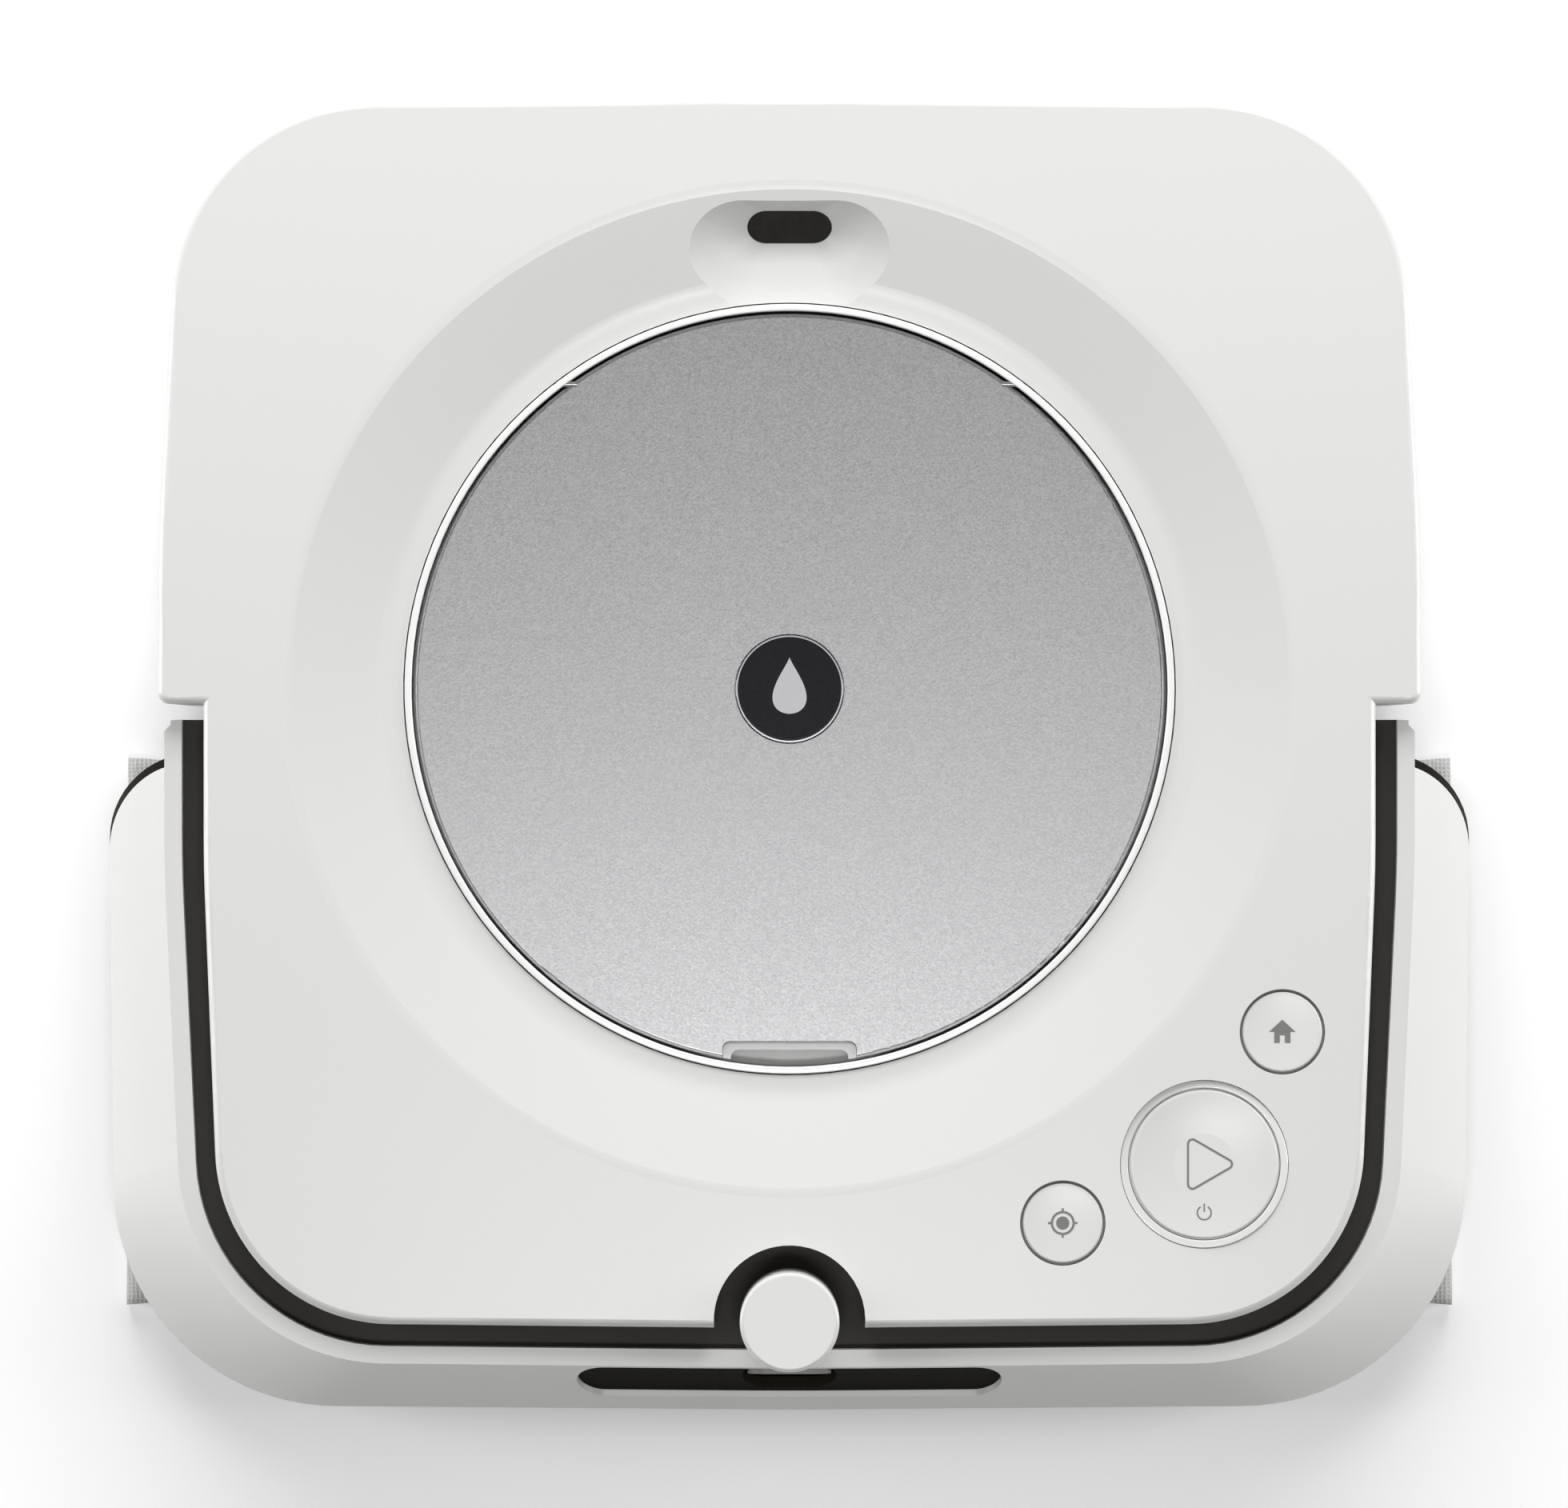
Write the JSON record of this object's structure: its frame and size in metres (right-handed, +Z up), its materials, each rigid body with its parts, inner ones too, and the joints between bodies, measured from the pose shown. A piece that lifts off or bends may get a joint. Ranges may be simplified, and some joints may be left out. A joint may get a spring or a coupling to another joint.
{
  "type": "robotic floor cleaner",
  "caption": "Square robot floor mop: round lid over a lift-out tank, sprung bumper with flared skirt, docking post, push buttons, sprung drive wheels and a slide-in pad.",
  "frame": {"origin": "on the floor at the centre of the overall plan", "axes": "+Z up, front (bumper) towards -Y, +X across the width"},
  "size_m": [0.2794, 0.2646, 0.089],
  "materials": {
    "white_plastic": "smooth satin gloss",
    "white_frame": "fine matt",
    "dark_plastic": "fine matt",
    "pan_plastic": "fine spark-eroded texture",
    "silver_flake": "metallic flake under clear coat",
    "clear_plastic": "clear",
    "badge_black": "gloss",
    "window_dark": "polished",
    "light_guide": "translucent",
    "tank_plastic": "translucent frosted",
    "circuit_board": "solder mask",
    "battery_wrap": "shrink wrap",
    "steel": "turned",
    "contact_metal": "plated",
    "seal_rubber": "matt",
    "tyre_rubber": "ribbed",
    "gear_plastic": "moulded acetal",
    "hose_silicone": "translucent",
    "pad_fabric": "woven microfibre",
    "pad_card_board": "pressed board"
  },
  "bodies": {
    "chassis": {"top_cover": "white_plastic", "base_pan": "pan_plastic", "front_frame": "pan_plastic", "columns": "pan_plastic", "pad_rails": "pan_plastic", "base_screws": "steel", "tank_bay": "white_frame", "tank_seal": "seal_rubber", "camera_window": "window_dark", "camera_module": "dark_plastic", "main_light_ring": "light_guide", "button_board": "circuit_board", "button_switches": "dark_plastic", "main_board": "circuit_board", "speaker": "dark_plastic", "battery_pack": "battery_wrap", "battery_door": "pan_plastic", "charging_contacts": "contact_metal", "base_sensors": "window_dark", "pump": "dark_plastic", "suction_hose": "hose_silicone", "spray_hose": "hose_silicone", "spray_nozzle": "dark_plastic", "pivot_pins": "steel"},
    "bumper": {"bumper_shell": "white_plastic", "bumper_band": "dark_plastic", "bumper_trim": "dark_plastic", "nozzle_panel": "dark_plastic", "front_cliff_sensors": "window_dark", "post": "white_plastic", "post_cap": "white_plastic"},
    "tank": {"water_tank": "tank_plastic", "tank_plate": "white_frame", "tank_rim": "white_plastic"},
    "tank_cap": {"filler_cap": "seal_rubber"},
    "tank_lid": {"lid": "silver_flake", "lid_clear_insert": "clear_plastic", "badge": "badge_black"},
    "home_key": {"home_button": "white_plastic"},
    "spot_key": {"spot_button": "white_plastic"},
    "main_key": {"main_button": "white_plastic"},
    "pad": {"pad_card": "pad_card_board", "pad_cloth": "pad_fabric"},
    "eject": {"eject_button": "dark_plastic", "eject_strip": "pan_plastic"},
    "latch": {"pad_latch": "gear_plastic"},
    "right_arm": {"right_suspension_arm": "dark_plastic", "right_wheel_axle": "steel", "right_drive_motor": "steel"},
    "right_wheel": {"right_wheel_tyre": "tyre_rubber", "right_wheel_hub": "dark_plastic", "right_wheel_gear": "gear_plastic"},
    "right_pinion": {"right_motor_pinion": "gear_plastic"},
    "left_arm": {"left_suspension_arm": "dark_plastic", "left_wheel_axle": "steel", "left_drive_motor": "steel"},
    "left_wheel": {"left_wheel_tyre": "tyre_rubber", "left_wheel_hub": "dark_plastic", "left_wheel_gear": "gear_plastic"},
    "left_pinion": {"left_motor_pinion": "gear_plastic"}
  },
  "joints": [
    {"name": "bumper_slide", "type": "slide", "parent": "chassis", "child": "bumper", "axis": [0, 1, 0], "range_m": [0, 0.0026], "stiffness_N_per_m": 800, "springref_m": -0.003},
    {"name": "tank_lift", "type": "slide", "parent": "chassis", "child": "tank", "axis": [0, 0, 1], "range_m": [0, 0.09]},
    {"name": "filler_cap_turn", "type": "hinge", "parent": "tank", "child": "tank_cap", "pos_m": [-0.034, 0.018, 0.075], "axis": [0, 0, 1], "range_deg": [0, 90]},
    {"name": "lid_hinge", "type": "hinge", "parent": "tank", "child": "tank_lid", "pos_m": [0, 0.0758, 0.0793], "axis": [-1, 0, 0], "range_deg": [0, 95]},
    {"name": "home_press", "type": "slide", "parent": "chassis", "child": "home_key", "axis": [0, 0, -1], "range_m": [0, 0.0008], "stiffness_N_per_m": 600, "springref_m": -0.0008},
    {"name": "spot_press", "type": "slide", "parent": "chassis", "child": "spot_key", "axis": [0, 0, -1], "range_m": [0, 0.0008], "stiffness_N_per_m": 600, "springref_m": -0.0008},
    {"name": "main_press", "type": "slide", "parent": "chassis", "child": "main_key", "axis": [0, 0, -1], "range_m": [0, 0.0008], "stiffness_N_per_m": 600, "springref_m": -0.0008},
    {"name": "pad_slide", "type": "slide", "parent": "chassis", "child": "pad", "axis": [0, -1, 0], "range_m": [0, 0.12]},
    {"name": "eject_press", "type": "slide", "parent": "chassis", "child": "eject", "axis": [0, -1, 0], "range_m": [0, 0.0022], "stiffness_N_per_m": 500, "springref_m": -0.002},
    {"name": "latch_turn", "type": "hinge", "parent": "chassis", "child": "latch", "pos_m": [0, -0.02, 0.0192], "axis": [1, 0, 0], "range_deg": [0, 14]},
    {"name": "right_suspension", "type": "hinge", "parent": "chassis", "child": "right_arm", "pos_m": [0.0845, 0.02, 0.034], "axis": [-1, 0, 0], "range_deg": [0, 12], "stiffness_Nm_per_rad": 0.3, "springref_deg": 20.05},
    {"name": "right_wheel_spin", "type": "hinge", "parent": "right_arm", "child": "right_wheel", "pos_m": [0.1, 0.06, 0.027], "axis": [1, 0, 0], "continuous": true},
    {"name": "right_pinion_spin", "type": "hinge", "parent": "right_arm", "child": "right_pinion", "pos_m": [0.09, 0.0373, 0.0192], "axis": [1, 0, 0], "continuous": true},
    {"name": "left_suspension", "type": "hinge", "parent": "chassis", "child": "left_arm", "pos_m": [-0.0845, 0.02, 0.034], "axis": [-1, 0, 0], "range_deg": [0, 12], "stiffness_Nm_per_rad": 0.3, "springref_deg": 20.05},
    {"name": "left_wheel_spin", "type": "hinge", "parent": "left_arm", "child": "left_wheel", "pos_m": [-0.1, 0.06, 0.027], "axis": [1, 0, 0], "continuous": true},
    {"name": "left_pinion_spin", "type": "hinge", "parent": "left_arm", "child": "left_pinion", "pos_m": [-0.09, 0.0373, 0.0192], "axis": [1, 0, 0], "continuous": true}
  ],
  "couplings": [
    {"joint": "latch_turn", "follows": "eject_press", "rad_per_m": 110},
    {"joint": "right_pinion_spin", "follows": "right_wheel_spin", "ratio": -4},
    {"joint": "left_pinion_spin", "follows": "left_wheel_spin", "ratio": -4}
  ]
}
